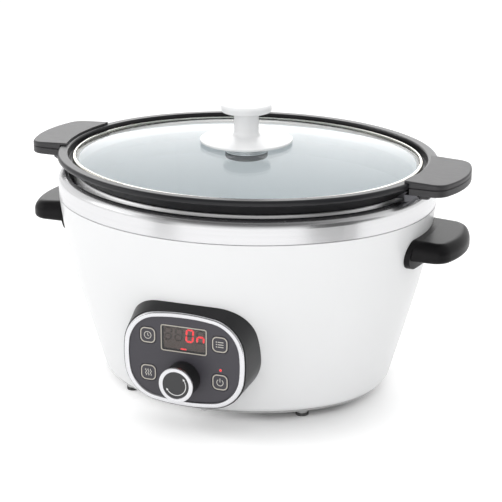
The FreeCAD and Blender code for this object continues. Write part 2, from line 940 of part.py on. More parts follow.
def side_handle_root():
    """Plate that lies on the shell and carries the grip."""
    body = new_body("HandleRoot")
    half_height = (s.grip_root_top - s.root_bottom) / 2
    plate = soft_box(sketch(body, "YZ_Plane", s.shell_foot), as_size(0), s.root_bottom + half_height,
                     s.grip_half_width + 2, half_height, s.root_corner)
    pad(body, plate, s.oval_half_length - s.shell_foot + 12)
    low, high = s.root_bottom - 1, s.grip_root_top + 1
    far = s.grip_tip + 20
    face = [corner(s.root_low, low), corner(far, low), corner(far, high), corner(s.root_high, high)]
    end_cut(body, face, as_size(80))
    return body


def slope_top(body, half_width, tip, tip_top, lean, over):
    """Cut a handle's top to a plane that falls towards its tip."""
    start, end = s.well_foot - 2, tip + 2
    slope = outline(front(body), [
        corner(start, tip_top + lean * (tip - start)),
        corner(end, tip_top - lean * 2),
        corner(end, over),
        corner(start, over),
    ])
    pocket(body, slope, half_width * 4, both=True)


def side_handle_grip():
    """Grip with a sloping top, hollow underneath for the fingers."""
    body = new_body("HandleGrip")
    over = s.grip_root_top + 10
    shape = (s.grip_half_width, s.grip_tip, s.grip_nose)
    pad(body, handle_plan(plan(body, s.grip_bottom), s.shell_foot, *shape), over - s.grip_bottom)
    soften(body, "Fillet", s.grip_corner, shoulder_edges(*shape))
    lean = (s.grip_root_top - s.grip_tip_top) / (s.grip_tip - s.oval_half_length)
    slope_top(body, s.grip_half_width, s.grip_tip, s.grip_tip_top, lean, over + 1)
    soften(body, "Fillet", s.grip_edge_round,
           lambda box: box.ZMin > s.grip_tip_top.value - 1 and box.XLength > 0.1)
    soften(body, "Fillet", s.grip_under_round, lambda box: level(s.grip_bottom)(box) and box.XLength > 0.1)
    hollow = (s.grip_half_width - s.grip_wall, s.grip_tip - s.grip_wall, s.grip_nose - s.grip_wall)
    room = s.grip_tip_top - s.grip_bottom - s.grip_floor
    pocket(body, handle_plan(plan(body, s.grip_bottom), s.root_high + 1, *hollow), room, back=True)
    return body


def side_handle():
    pieces = [side_handle_root(), side_handle_grip()]
    for body in pieces:
        end_cut(body, shell_side(s.fit_gap), as_size(80))
        holes = [(y, s.grip_screw_height, s.screw_radius + 0.05) for y in (s.grip_screw_y, -s.grip_screw_y)]
        pocket(body, circles(sketch(body, "YZ_Plane"), *holes), s.oval_half_length + 1.5, back=True)
    body = joined("side_handle_right", *pieces)
    mirrored("side_handle_left", body)
    seat = s.oval_half_length - 7.1
    right = [screw("X", seat, y, s.grip_screw_height, s.screw_radius, s.grip_screw_length,
                   s.screw_head_radius, s.screw_head_height) for y in (s.grip_screw_y, -s.grip_screw_y)]
    left = [mirrored("Screw", one) for one in right]
    group("side_handle_screws", *(right + left))


# Control pod

def pod_screw_spots():
    return [(x, z) for x in (s.pod_screw_x, -s.pod_screw_x) for z in (s.pod_screw_up, -s.pod_screw_down)]


def tray():
    """Reach of the ledge that carries the panel and its ring."""
    return s.panel_reach - s.panel_thickness


def control_pod():
    body = new_body("control_pod")
    rim = s.panel_reach - s.pod_lip_drop
    root = rim - s.pod_depth
    near = panel_loop(front(body, rim), s.pod_lip)
    spread = (s.pod_root_side, s.pod_root_top, s.pod_root_bottom)
    far = panel_loop(front(body, root), s.pod_lip, *spread, s.pod_root_corner)
    lofted(body, "AdditiveLoft", near, far)
    inset = s.pod_lip - s.pod_wall
    behind = tray() - 2.2
    near = panel_loop(front(body, behind), inset, *[size * 0.1 for size in spread])
    far = panel_loop(front(body, root - 1), inset, *spread, s.pod_root_corner)
    lofted(body, "SubtractiveLoft", near, far)
    bosses = [(x, s.panel_height + z, s.pod_boss_radius) for x, z in pod_screw_spots()]
    pad(body, circles(front(body, root), *bosses), behind - root + 0.5)
    pocket(body, panel_loop(front(body, rim), s.fit_gap), rim - tray())
    pocket(body, panel_loop(front(body, tray()), -(s.ring_width + s.pod_ledge)), as_size(6))
    wall = [corner(-c["x"] + slimness, c["y"], c["round"], c["bend"] and -c["bend"])
            for c in shell_side(s.fit_gap)]
    region = outline(sketch(body, "YZ_Plane"), wall)
    turning_line(region, side_centre)
    turned(body, "Groove", region, as_size(80))
    holes = [(x, s.panel_height + z, s.small_screw_radius + 0.05) for x, z in pod_screw_spots()]
    pocket(body, circles(front(body, root), *holes), behind - root - 4, back=True)
    screws = []
    for x, z in pod_screw_spots():
        height = s.panel_height + z
        screws.append(screw("-Y", x, -pod_screw_reach(height), height, s.small_screw_radius,
                            s.pod_screw_length, s.small_head_radius, s.small_head_height))
    group("pod_screws", *screws)


def pod_screw_reach(height):
    """Reach at which the head of a pod screw just clears the shell's inner face."""
    low = height - s.small_head_radius
    across = s.pod_screw_x + s.small_head_radius
    half_length = s.shell_waist - s.shell_wall - shell_lean() * (s.shell_waist_height - low)
    radius = half_length - slimness + side_centre
    return root_of(radius * radius - across * across) - side_centre - s.fit_gap


def panel_ring():
    body = new_body("panel_ring")
    pad(body, panel_loop(front(body, tray())), s.panel_thickness + s.ring_proud)
    pocket(body, panel_loop(front(body, s.panel_reach + s.ring_proud), -s.ring_width), as_size(10))
    top = s.panel_reach + s.ring_proud
    soften(body, "Fillet", as_size(1.3), at_reach(top))


def key_spots():
    return {
        "key_timer": (-s.key_x, s.key_up),
        "key_mode": (s.key_x, s.key_up),
        "key_warm": (-s.key_x, -s.key_down),
        "key_power": (s.key_x, -s.key_down),
    }


def panel_face():
    body = new_body("panel_face")
    pad(body, panel_loop(front(body, tray()), -(s.ring_width + 0.1)), s.panel_thickness)
    half = s.key_side / 2 + s.key_gap
    for x, z in key_spots().values():
        radius = s.key_corner + s.key_gap
        hole = soft_box(front(body, s.panel_reach), x, s.panel_height + z, half, half, radius)
        pocket(body, hole, as_size(5))
    window_hole(body, s.panel_reach, s.fit_gap, s.window_thickness + 0.1)
    window_hole(body, s.panel_reach, -s.window_step, as_size(5))
    dial = (0, s.panel_height - s.dial_down, s.shaft_radius + 0.8)
    light = (s.light_x, s.panel_height - s.light_down, s.light_radius + 0.1)
    pocket(body, circles(front(body, s.panel_reach), dial, light), as_size(5))
    posts = [(x, s.panel_height + z, 1.9) for x, z in post_spots()]
    pad(body, circles(front(body, tray() + 0.2), *posts), s.board_gap + 0.2, back=True)


def post_spots():
    """Posts on the back of the panel that carry the control board."""
    return [(-19, 1.0), (19, 1.0), (-13, -22.0), (13, -22.0)]


def window_box(sk, grow):
    middle = s.panel_height + (s.window_low + s.window_high) / 2
    half = (s.window_high - s.window_low) / 2 + grow
    half_width = s.window_half_width + grow
    return soft_box(sk, as_size(0), middle, half_width, half, s.window_corner + as_size(grow) * 0.5)


def window_hole(body, reach, grow, depth):
    pocket(body, window_box(front(body, reach), as_size(grow)), depth)


def display():
    body = new_body("display_window")
    pad(body, window_box(front(body, s.panel_reach - 0.1), as_size(0)), s.window_thickness, back=True)
    body = new_body("display_module")
    board = board_front()
    module = window_box(front(body, board), -(s.window_step + 0.3))
    pad(body, module, s.panel_reach - s.window_thickness - board - 0.5)


def board_front():
    return tray() - s.board_gap


def control_board():
    body = new_body("control_board")
    sk = soft_box(front(body, board_front()), as_size(0), s.panel_height,
                  s.board_half_width, s.board_half_height, as_size(5))
    pad(body, sk, s.board_thickness, back=True)
    switches = []
    for x, z in key_spots().values():
        y = -board_front()
        z = s.panel_height + z
        base = solid("Box", "Z", x - 3, y - 2.4, z - 3, Length=6, Width=2.4, Height=6)
        well = rod("-Y", x, y - 0.5, z, as_size(1.6), as_size(3))
        switches.append(cut("Switch", base, well))
    group("key_switches", *switches)
    length = s.panel_reach + 0.3 - board_front()
    light = rod("-Y", s.light_x, -board_front(), s.panel_height - s.light_down, s.light_radius, length)
    light.Label = "indicator_light"


def keys():
    for label, (x, z) in key_spots().items():
        body = new_body(label)
        z = s.panel_height + z
        back = tray() - s.fit_gap
        half = s.key_side / 2
        cap = soft_box(front(body, back - 0.2), x, z, half, half, s.key_corner)
        pad(body, cap, s.panel_reach + 0.2 - back + 0.2)
        soften(body, "Fillet", as_size(0.4), at_reach(s.panel_reach + 0.2))
        wide = half + s.key_flange
        pad(body, soft_box(front(body, back - 1.1), x, z, wide, wide, s.key_corner), as_size(1.1))
        stem = back - 1.1 - (board_front() + 1.1 + s.key_travel)
        pad(body, circles(front(body, back - 1.0), (x, z, 1.35)), stem + 0.1, back=True)


def dial():
    z = s.panel_height - s.dial_down
    start = s.panel_reach + s.dial_start
    end = start + s.dial_length
    body = new_body("dial_knob")
    pad(body, circles(front(body, start), (0, z, s.dial_radius)), s.dial_length - 1.6)
    pocket(body, circles(front(body, start), (0, z, s.shaft_radius + 2)), as_size(3), back=True)
    pocket(body, circles(front(body, start), (0, z, s.shaft_radius + 0.03)), as_size(11), back=True)
    body = new_body("dial_ring")
    hoop = circles(front(body, end - 1.6), (0, z, s.dial_ring_radius), (0, z, s.dial_ring_inner))
    pad(body, hoop, as_size(1.8))
    soften(body, "Fillet", as_size(0.7), at_reach(end + 0.2))
    body = new_body("dial_cap")
    pad(body, circles(front(body, end - 1.6), (0, z, s.dial_ring_inner - 0.08)), as_size(1.2))
    board = board_front()
    base = solid("Box", "Z", as_size(-6), -(board + 4.1), z - 6, Length=12, Width=4.1, Height=12)
    bush = rod("-Y", 0, -(board + 4.0), z, s.shaft_radius + 0.6, as_size(5.6))
    bore = rod("-Y", 0, -(board + 1.5), z, s.shaft_radius + s.shaft_clearance, as_size(14))
    cut("encoder_body", joined("Encoder", base, bush), bore)
    body = new_body("encoder_shaft")
    pad(body, circles(front(body, board + 1.8), (0, z, s.shaft_radius)), start + 10.5 - board - 1.8)


def cord_gland():
    body = new_body("cord_gland")
    inner = s.shell_foot - slimness - 11
    neck = circles(front(body, -inner), (0, s.inlet_height, s.inlet_neck))
    pad(body, neck, as_size(26), back=True)
    raw_flange = rod("Y", 0, inner + 2, s.inlet_height, s.inlet_flange, as_size(19))
    region = new_body("gland_seat")
    sk = outline(sketch(region, "YZ_Plane"), [
        corner(c["x"] - slimness, c["y"], c["round"], c["bend"]) for c in shell_side(s.fit_gap)])
    turning_line(sk, -side_centre)
    turned(region, "Revolution", sk, as_size(60))
    flange = cut("Flange", raw_flange, region)
    whole = joined("Gland", body, flange)
    bore = rod("Y", 0, inner - 1, s.inlet_height, s.inlet_bore, as_size(30))
    body.Label = "gland_neck"
    cut("cord_gland", whole, bore)


def inside_pieces():
    top = s.shell_bottom + 3.0
    middle = power_board_middle()
    board = block(0, middle, top, s.power_board_length, s.power_board_width, s.board_thickness)
    board.Label = "power_board"
    above = top + s.board_thickness
    relay = block(-22, middle + 7, above, 19, 15.4, 12)
    relay.Label = "power_relay"
    can = rod("Z", 20, middle + 9, above, as_size(6), as_size(11))
    can.Label = "filter_capacitor"
    terminals = block(0, middle - 13, above, 24, 9, 9)
    terminals.Label = "terminal_block"
    under = s.well_floor - s.well_sheet
    sensor = rod("Z", 40, -20, under - 6.05, as_size(4.5), as_size(6))
    sensor.Label = "temperature_sensor"
    fuse = rod("X", as_size(-50), as_size(-20), under - 2.25, as_size(2.2), as_size(20))
    fuse.Label = "thermal_fuse"


# Pot

def cooking_pot():
    body = new_body("cooking_pot")
    wall = s.pot_wall
    floor = s.well_floor
    inner_foot = s.pot_foot - wall * 1.03 + (s.pot_side - s.pot_foot) / (s.pot_side_height - floor) * wall
    swept(body, [
        corner(s.floor_overlap, floor),
        corner(s.pot_foot, floor, s.pot_round),
        corner(s.pot_side, s.pot_side_height),
        corner(s.pot_shoulder, s.shoulder_height, as_size(2)),
        corner(s.pot_neck, s.neck_height, as_size(1.5)),
        corner(s.rim_half_length, s.rim_under, as_size(1.5)),
        corner(s.rim_half_length, s.rim_top, s.rim_round),
        corner(s.rim_inner, s.rim_top, as_size(1.2)),
        corner(s.rim_inner, s.seat_height, as_size(0.6)),
        corner(s.pot_neck - wall, s.seat_height, as_size(0.8)),
        corner(s.pot_neck - wall, s.neck_height),
        corner(s.pot_shoulder - wall, s.shoulder_height, as_size(2)),
        corner(s.pot_side - wall, s.pot_side_height),
        corner(inner_foot, floor + wall, s.pot_round - wall),
        corner(s.floor_overlap, floor + wall),
    ])
    pad(body, oval(plan(body, floor), s.floor_overlap + 4), wall)


def box_corners(x_low, x_high, z_low, z_high):
    return [corner(x_low, z_low), corner(x_high, z_low), corner(x_high, z_high), corner(x_low, z_high)]


def hold_screw_holes(body, radius, height, depth):
    spots = [(s.hold_screw_x, y, radius) for y in (s.hold_screw_y, -s.hold_screw_y)]
    pocket(body, circles(plan(body, height), *spots), depth, back=True)


def pot_handles():
    swing = as_size(100)
    past_rim = s.rim_half_length + s.fit_gap
    over_rim = s.rim_top + s.fit_gap
    shape = (s.hold_half_width, s.hold_tip, s.hold_nose)
    upper = new_body("pot_handle_upper_right")
    split = s.hold_split + 0.1
    pad(upper, handle_plan(plan(upper, split), s.well_foot, *shape), s.hold_top + 4 - split)
    soften(upper, "Fillet", s.hold_corner, shoulder_edges(*shape))
    lean = s.hold_droop / (s.hold_tip - s.hold_inner)
    slope_top(upper, s.hold_half_width, s.hold_tip, s.hold_tip_top, lean, s.hold_top + 5)
    end_cut(upper, box_corners(s.floor_overlap, s.hold_inner, s.hold_bottom, s.hold_top + 6), swing)
    end_cut(upper, box_corners(s.floor_overlap, past_rim, s.hold_bottom, over_rim), swing)
    trim = s.rim_half_length - s.hold_trim
    spare = outline(plan(upper, s.hold_top + 6), [
        corner(s.well_foot, -s.hold_half_width - 5),
        corner(trim, -s.hold_half_width - 5),
        corner(trim, -s.hold_half_width + 10),
        corner(s.well_foot, -s.hold_half_width + 10),
    ])
    pocket(upper, spare, as_size(20))
    soften(upper, "Fillet", s.hold_round, lambda box: (
        box.ZMin > s.hold_tip_top.value - 0.2
        and box.XMax > s.hold_inner.value + 2
        and not level(over_rim)(box)))
    soften(upper, "Chamfer", as_size(0.5), lambda box: level(split)(box) and box.XMax > past_rim.value + 2)
    hold_screw_holes(upper, s.screw_radius + 0.05, s.hold_split - 1, as_size(4))
    lower = new_body("pot_handle_lower_right")
    pad(lower, handle_plan(plan(lower, s.hold_bottom), s.well_foot, *shape), s.hold_split - s.hold_bottom)
    soften(lower, "Fillet", s.hold_corner, shoulder_edges(*shape))
    soften(lower, "Fillet", s.hold_round * 0.8, lambda box: level(s.hold_bottom)(box) and box.XLength > 0.1)
    half = s.lug_side / 2
    lug = soft_box(plan(lower, s.hold_bottom - s.lug_drop), s.rim_half_length + s.lug_reach,
                   half + 1.4 - s.hold_half_width, half, half, as_size(2.5))
    pad(lower, lug, s.lug_drop + 0.5)
    end_cut(lower, box_corners(s.floor_overlap, past_rim, s.hold_bottom - 6, s.hold_top), swing)
    soften(lower, "Chamfer", as_size(0.5),
           lambda box: level(s.hold_split)(box) and box.XMax > past_rim.value + 2)
    hold_screw_holes(lower, s.screw_radius + 0.05, s.hold_bottom - 1, as_size(8))
    bracket = pot_bracket()
    screws = [screw("Z", s.hold_screw_x, y, s.hold_screw_seat, s.screw_radius, s.hold_screw_length,
                    s.hold_head_radius, s.hold_head_height) for y in (s.hold_screw_y, -s.hold_screw_y)]
    half_turned("pot_handle_upper_left", upper)
    half_turned("pot_handle_lower_left", lower)
    mirrored("pot_bracket_left", bracket)
    group("pot_handle_screws", *(screws + [mirrored("Screw", one) for one in screws]))


def pot_bracket():
    """Wedge under the root of a pot handle with a tongue for its screws, fitted to the pot's neck."""
    body = new_body("pot_bracket_right")
    top = s.hold_bottom - 0.05
    low = s.collar_top + s.bracket_lift
    # Its middle runs in to the neck; its two ends stop where the handle's inner edge does
    wide = s.bracket_half_width * 2
    spans = [(s.pot_foot, wide * 0.8), (s.rim_half_length - s.hold_trim, wide)]
    for start, width in spans:
        wedge = outline(front(body), [
            corner(start, low),
            corner(s.rim_half_length - s.bracket_inset, low),
            corner(s.rim_half_length, top - s.bracket_edge),
            corner(s.rim_half_length, top),
            corner(start, top),
        ])
        pad(body, wedge, width, both=True)
    reach = s.rim_half_length + s.tongue_reach
    tongue = outline(front(body), box_corners(s.rim_half_length - 5, reach, top - s.tongue_thickness, top))
    pad(body, tongue, s.tongue_half_width * 2, both=True)
    end_cut(body, [
        corner(s.floor_overlap, s.shoulder_height),
        corner(s.pot_shoulder + s.fit_gap, s.shoulder_height),
        corner(s.pot_neck + s.fit_gap, s.neck_height - s.fit_gap, as_size(2)),
        corner(s.rim_half_length + s.fit_gap, s.rim_under - s.fit_gap),
        corner(s.floor_overlap, s.rim_under - s.fit_gap),
    ], as_size(100))
    hold_screw_holes(body, s.hold_head_radius + 0.2, s.hold_screw_seat - 6, as_size(6))
    hold_screw_holes(body, s.screw_radius + 0.15, s.hold_screw_seat - 1, as_size(5))
    return body


# Lid

def lid_rim():
    body = new_body("lid_rim")
    sheet = s.lid_sheet
    seat = s.seat_height
    hem = s.lid_half_length - s.lid_hem
    swept(body, [
        corner(hem, seat),
        corner(s.lid_half_length, seat, as_size(0.6)),
        corner(s.lid_half_length, s.lid_rim_top, as_size(1.6)),
        corner(hem, s.lid_rim_top),
        corner(hem, s.lid_rim_top - sheet),
        corner(s.lid_half_length - sheet, s.lid_rim_top - sheet, as_size(0.9)),
        corner(s.lid_half_length - sheet, seat + sheet),
        corner(hem, seat + sheet),
    ])


def lid_glass():
    edge = s.lid_half_length - s.lid_sheet - 0.2
    edge_top = s.lid_rim_top - s.lid_sheet - 0.5
    # A sphere squashed to the oval; the glass is its cap, cut where the spread leaves a shallow dome
    spread = s.glass_spread
    share = -(root_of(-(as_size(1) / (spread * spread)) + 1)) + 1
    height = (s.glass_crown - edge_top) / share
    sizes = {"Radius1": height, "Radius2": edge * spread, "Radius3": (edge - slimness) * spread}
    outer = solid("Ellipsoid", "Z", 0, 0, s.glass_crown - height, **sizes)
    inner = solid("Ellipsoid", "Z", 0, 0, s.glass_crown - height - s.glass_thickness, **sizes)
    dome = cut("Dome", outer, inner)
    blank = new_body("GlassBlank")
    pad(blank, oval(plan(blank, s.seat_height - 2), edge), s.glass_crown - s.seat_height + 6)
    disc = common("Disc", dome, blank)
    hole = rod("Z", 0, 0, s.seat_height, s.glass_hole, s.glass_crown - s.seat_height + 4)
    cut("lid_glass", disc, hole)


def upright_turn(label, corners):
    """A round piece turned about the upright axis."""
    body = new_body(label)
    sk = outline(front(body), corners)
    turning_line(sk, 0)
    turned(body, "Revolution", sk)


def lid_knob():
    bottom = s.glass_crown + 0.2
    edge = bottom + s.knob_flange_rise
    hole = s.screw_radius + 0.06
    upright_turn("knob_base", [
        corner(hole, bottom),
        corner(s.knob_flange, bottom, as_size(0.5)),
        corner(s.knob_flange, edge, as_size(0.8)),
        corner(s.knob_neck + 3.4, bottom + 5.4, as_size(8)),
        corner(s.knob_neck, bottom + 11, as_size(4)),
        corner(s.knob_neck, s.knob_neck_height),
        corner(hole, s.knob_neck_height),
    ])
    upright_turn("knob_top", [
        corner(0, s.knob_neck_height + 0.02),
        corner(s.knob_neck, s.knob_neck_height + 0.02, as_size(0.4)),
        corner(s.knob_neck + 1.5, s.knob_disc_low - 0.4, as_size(0.8)),
        corner(s.knob_disc, s.knob_disc_low, as_size(1)),
        corner(s.knob_disc, s.knob_disc_high - 1.6, as_size(2.6)),
        corner(0, s.knob_disc_high),
    ])
    under = s.glass_crown - s.glass_thickness
    seal_low = under - s.seal_thickness - 0.5
    upright_turn("knob_seal", box_corners(hole, s.seal_radius, seal_low, seal_low + s.seal_thickness))
    washer_low = seal_low - s.washer_thickness
    upright_turn("knob_washer", box_corners(hole, s.washer_radius, washer_low, seal_low))
    length = s.knob_neck_height - washer_low - 7
    bolt = screw("Z", 0, 0, washer_low, s.screw_radius, length, as_size(4.5), as_size(2.6))
    bolt.Label = "knob_screw"


def turn_in_well(node):
    """Turn a finished piece of the pot or its lid a little about the upright axis."""
    straight = doc.getObjectsByLabel(node)[0]
    straight.Label = node + "_straight"
    made = group(node, straight)
    made.Placement = FreeCAD.Placement(V(0, 0, 0), FreeCAD.Rotation(V(0, 0, -1), s.pot_turn.value))
    bind(made, "Placement.Rotation.Angle", s.pot_turn)


outer_shell()
rim_collar()
well_liner()
wrap("heater_band", s.heater_bottom, s.heater_top, s.fit_gap, s.heater_thickness)
wrap("insulation_blanket", s.heater_bottom - 2, s.blanket_top, s.heater_thickness + s.fit_gap * 2,
     s.blanket_thickness)
base_cover()
base_fasteners()
side_handle()
control_pod()
panel_ring()
panel_face()
display()
control_board()
keys()
dial()
cord_gland()
inside_pieces()
cooking_pot()
pot_handles()
lid_rim()
lid_glass()
lid_knob()
for piece in ("cooking_pot", "pot_handle_upper_right", "pot_handle_upper_left", "pot_handle_lower_right",
              "pot_handle_lower_left", "pot_bracket_right", "pot_bracket_left", "pot_handle_screws",
              "lid_rim", "lid_glass"):
    turn_in_well(piece)
doc.recompute()

NODES = [
    "outer_shell", "rim_collar", "well_liner", "heater_band", "insulation_blanket", "base_cover",
    "base_screws", "feet", "liner_post", "tie_bolt", "side_handle_right", "side_handle_left",
    "side_handle_screws", "control_pod", "pod_screws", "panel_ring", "panel_face", "display_window",
    "display_module", "control_board", "key_switches", "indicator_light", "key_timer", "key_mode",
    "key_warm", "key_power", "dial_knob", "dial_ring", "dial_cap", "encoder_body", "encoder_shaft",
    "cord_gland", "power_board", "power_relay", "filter_capacitor", "terminal_block",
    "temperature_sensor", "thermal_fuse", "cooking_pot", "pot_handle_upper_right",
    "pot_handle_upper_left", "pot_handle_lower_right", "pot_handle_lower_left", "pot_bracket_right",
    "pot_bracket_left", "pot_handle_screws", "lid_rim", "lid_glass", "knob_base", "knob_top",
    "knob_seal", "knob_washer", "knob_screw",
]

for thing in doc.Objects:
    if "Invalid" in thing.State or "Error" in thing.State:
        owner = thing.getParentGeoFeatureGroup() or thing
        raise RuntimeError("%s of %s did not build" % (thing.Label, owner.Label))

os.makedirs("parts", exist_ok=True)
for node in NODES:
    found = doc.getObjectsByLabel(node)
    if len(found) != 1:
        raise RuntimeError("%d objects are named %s" % (len(found), node))
    shape = found[0].Shape
    if shape.isNull() or not shape.isValid() or not shape.Solids:
        raise RuntimeError("%s has no valid solid" % node)
    shape.exportStep("parts/%s.step" % node)
    print("%-24s solids %d volume %.0f" % (node, len(shape.Solids), shape.Volume))
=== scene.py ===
import math

import bmesh
import bpy
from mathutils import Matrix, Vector


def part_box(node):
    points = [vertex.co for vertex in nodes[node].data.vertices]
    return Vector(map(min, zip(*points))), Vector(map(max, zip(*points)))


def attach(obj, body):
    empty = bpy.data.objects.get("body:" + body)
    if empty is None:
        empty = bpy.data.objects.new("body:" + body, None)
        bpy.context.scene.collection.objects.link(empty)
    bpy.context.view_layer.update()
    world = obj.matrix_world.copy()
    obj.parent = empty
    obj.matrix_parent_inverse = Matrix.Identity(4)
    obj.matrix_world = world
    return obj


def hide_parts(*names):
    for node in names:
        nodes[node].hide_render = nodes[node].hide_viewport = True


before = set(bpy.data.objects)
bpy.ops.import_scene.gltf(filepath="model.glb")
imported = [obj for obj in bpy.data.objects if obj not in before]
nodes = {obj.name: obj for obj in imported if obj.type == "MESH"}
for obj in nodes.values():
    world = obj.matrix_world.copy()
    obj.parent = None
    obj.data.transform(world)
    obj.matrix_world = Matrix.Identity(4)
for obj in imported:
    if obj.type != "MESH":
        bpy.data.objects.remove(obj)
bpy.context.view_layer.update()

# Sizes on the cooker are in millimetres, on its own axes, and become metres in the meshes
MM = 0.001
PANEL_Y = -131.0
KEY_FRONT = PANEL_Y - 0.2
KEYS = {"timer": (-28.5, 74.5), "mode": (28.5, 74.5), "warm": (-28.5, 45.0), "power": (28.5, 45.0)}
KEY_HALF = 6.5
KEY_CORNER = 4.4
WINDOW_FRONT = PANEL_Y + 0.1
WINDOW_HALF_WIDTH = 18.3
WINDOW_LOW = 63.9
WINDOW_HIGH = 84.6
DISPLAY_FRONT = -128.9
DIAL_Z = 44.7
DIAL_CAP_FRONT = -146.8
LAMP_RADIUS = 0.9
PRINT_HEIGHT = 0.06
POT_BAND = 160.0
POT_NECK = 169.3
POT_SEAT = 176.8

# Noise stays mostly between these two values
NOISE_LOW = 0.3
NOISE_HIGH = 0.7


# Materials

class Graph:
    """A node tree, with short ways to add nodes to it."""

    def __init__(self, tree):
        self.tree = tree

    def node(self, kind, **values):
        made = self.tree.nodes.new("ShaderNode" + kind)
        for socket, value in values.items():
            made.inputs[socket.replace("_", " ")].default_value = value
        return made

    def link(self, out, into):
        self.tree.links.new(out, into)

    def feed(self, value, into):
        """Link a socket to a node's output, or set it to a plain value."""
        if isinstance(value, bpy.types.NodeSocket):
            self.link(value, into)
        else:
            into.default_value = value

    def place(self, space="Object"):
        return self.node("TexCoord").outputs[space]

    def axis(self, space, name):
        """One coordinate of the place."""
        parts = self.node("SeparateXYZ")
        self.link(self.place(space), parts.inputs["Vector"])
        return parts.outputs[name]

    def math(self, kind, operation, a, b):
        """The number that a Math or VectorMath node makes of two values."""
        made = self.node(kind)
        made.operation = operation
        self.feed(a, made.inputs[0])
        self.feed(b, made.inputs[1])
        return made.outputs["Value"]

    def rescaled(self, value, low, high, to_low=0.0, to_high=1.0):
        """A value moved from one range to another and kept inside it."""
        made = self.node("MapRange", From_Min=low, From_Max=high, To_Min=to_low, To_Max=to_high)
        self.link(value, made.inputs["Value"])
        return made.outputs["Result"]

    def ramp(self, value, stops):
        """Colours along a value, given as position and colour."""
        made = self.node("ValToRGB")
        points = made.color_ramp.elements
        while len(points) < len(stops):
            points.new(0.5)
        for point, (position, color) in zip(points, stops):
            point.position = position
            point.color = (*color, 1.0)
        self.link(value, made.inputs["Fac"])
        return made.outputs["Color"]

    def mix(self, share, a, b):
        """The first colour, turning into the second as the share grows."""
        made = self.node("Mix")
        made.data_type = "RGBA"
        self.link(share, made.inputs["Factor"])
        self.feed(a, made.inputs["A"])
        self.feed(b, made.inputs["B"])
        return made.outputs["Result"]


class Look(Graph):
    """A node-based material built round one shader."""

    def __init__(self, name, color, roughness, metallic=0.0, **inputs):
        self.material = bpy.data.materials.new(name)
        self.material.use_nodes = True
        super().__init__(self.material.node_tree)
        self.shader = self.tree.nodes["Principled BSDF"]
        self.set("Base Color", (*color, 1.0))
        self.set("Roughness", roughness)
        self.set("Metallic", metallic)
        for socket, value in inputs.items():
            self.set(socket.replace("_", " ").title().replace("Ior", "IOR"), value)

    def set(self, socket, value):
        self.shader.inputs[socket].default_value = value

    def drive(self, socket, value):
        self.link(value, self.shader.inputs[socket])

    def noise(self, size, stretch=(1, 1, 1), detail=3.0):
        """Noise with features of about the given size in millimetres, stretched along the axes."""
        scale = self.node("Mapping", Scale=[1 / (size * MM * s) for s in stretch])
        self.link(self.place(), scale.inputs["Vector"])
        made = self.node("TexNoise", Scale=1.0, Detail=detail)
        self.link(scale.outputs["Vector"], made.inputs["Vector"])
        return made.outputs["Fac"]

    def color(self, value, *stops):
        self.drive("Base Color", self.ramp(value, stops))
        return self

    def rough(self, value, low, high):
        self.drive("Roughness", self.rescaled(value, NOISE_LOW, NOISE_HIGH, low, high))
        return self

    def bump(self, value, depth, strength=0.5):
        """Raise the surface by the value, to a depth in millimetres."""
        made = self.node("Bump", Strength=strength, Distance=depth * MM)
        self.link(value, made.inputs["Height"])
        self.drive("Normal", made.outputs["Normal"])
        return self

    def banded(self, height, below, edge=0.3, spread=0.05, size=30, stretch=(40, 40, 0.3)):
        """Another colour below a height, with streaks of its own."""
        above = self.shader.inputs["Base Color"].links[0].from_socket
        share = self.rescaled(self.axis("Object", "Z"), (height - edge) * MM, (height + edge) * MM)
        streaks = self.ramp(self.noise(size, stretch), shades(below, spread))
        self.drive("Base Color", self.mix(share, streaks, above))
        return self


def shades(color, spread):
    """A darker and a lighter neighbour of a colour, at the ends of the noise."""
    return [(NOISE_LOW, [c * (1 - spread) for c in color]), (NOISE_HIGH, [c * (1 + spread) for c in color])]


def plastic(name, color, roughness, grain=0.35, depth=0.02, spread=0.08, stretch=(1, 1, 1), cloud=1.2,
            **inputs):
    """Moulded plastic with a fine grain and a slightly uneven gloss."""
    look = Look(name, color, roughness, **inputs)
    fine = look.noise(grain, stretch)
    look.bump(fine, depth)
    look.rough(look.noise(cloud, stretch), roughness * 0.95, roughness * 1.06)
    return look.color(fine, *shades(color, spread))


def metal(name, color, roughness, stretch=(1, 1, 1), size=0.5, depth=0.004, spread=0.05, cloud=30, **inputs):
    """Metal with streaks along the stretched axes."""
    look = Look(name, color, roughness, 1.0, **inputs)
    streaks = look.noise(size, stretch)
    look.bump(streaks, depth, strength=0.3)
    look.rough(streaks, roughness * 0.85, roughness * 1.15)
    return look.color(look.noise(cloud, stretch), *shades(color, spread))


def enamel(name, color, roughness, peel=2.2, depth=0.012, haze=25, cloud=60, spread=0.006, **inputs):
    """Smooth paint with a faint orange peel."""
    look = Look(name, color, roughness, **inputs)
    look.bump(look.noise(peel, detail=1.0), depth, strength=0.3)
    look.rough(look.noise(haze), roughness * 0.92, roughness * 1.08)
    return look.color(look.noise(cloud), *shades(color, spread))


def glow(name, color, strength):
    """A lit segment, a little uneven."""
    look = plastic(name, color, 0.4, spread=0.1)
    look.set("Emission Color", (*color, 1.0))
    look.set("Emission Strength", strength)
    return look


